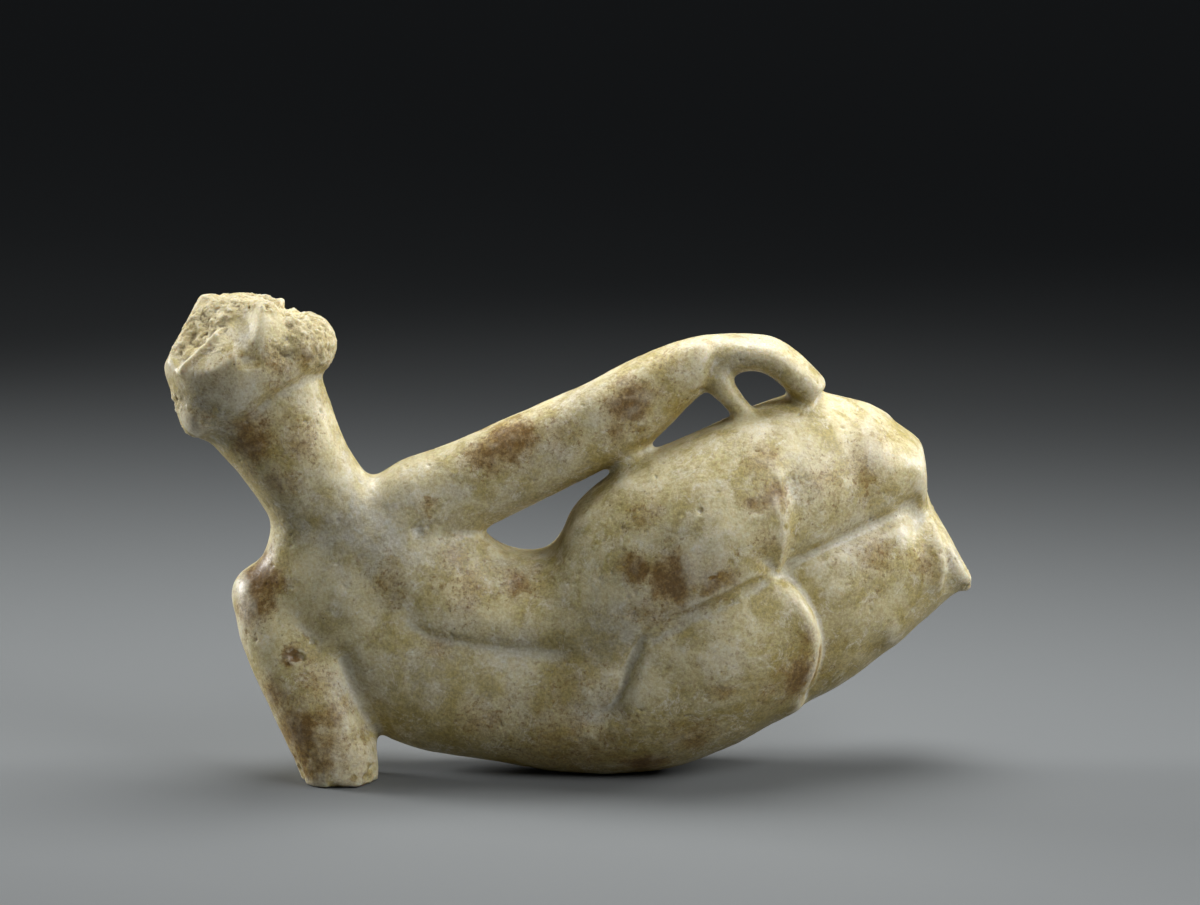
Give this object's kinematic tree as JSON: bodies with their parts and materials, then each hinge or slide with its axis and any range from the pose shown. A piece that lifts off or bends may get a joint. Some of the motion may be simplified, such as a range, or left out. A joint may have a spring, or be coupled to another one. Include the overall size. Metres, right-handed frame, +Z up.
{
  "type": "reclining female statuette",
  "caption": "Ancient statuette of a reclining nude woman carved from one piece of alabaster, propped on an arm stump and her hip, with broken thighs and a roughly cut crown.",
  "frame": {"origin": "middle of the bounding box, on the plane she rests on", "axes": "+X along her body from the head to the broken thighs, +Y out of her front, away from her back, +Z up"},
  "size_m": [0.1522, 0.0426, 0.0908],
  "materials": {
    "alabaster": "worn satin polish, stained"
  },
  "bodies": {
    "root": {"reclining_woman": "alabaster"}
  },
  "joints": []
}
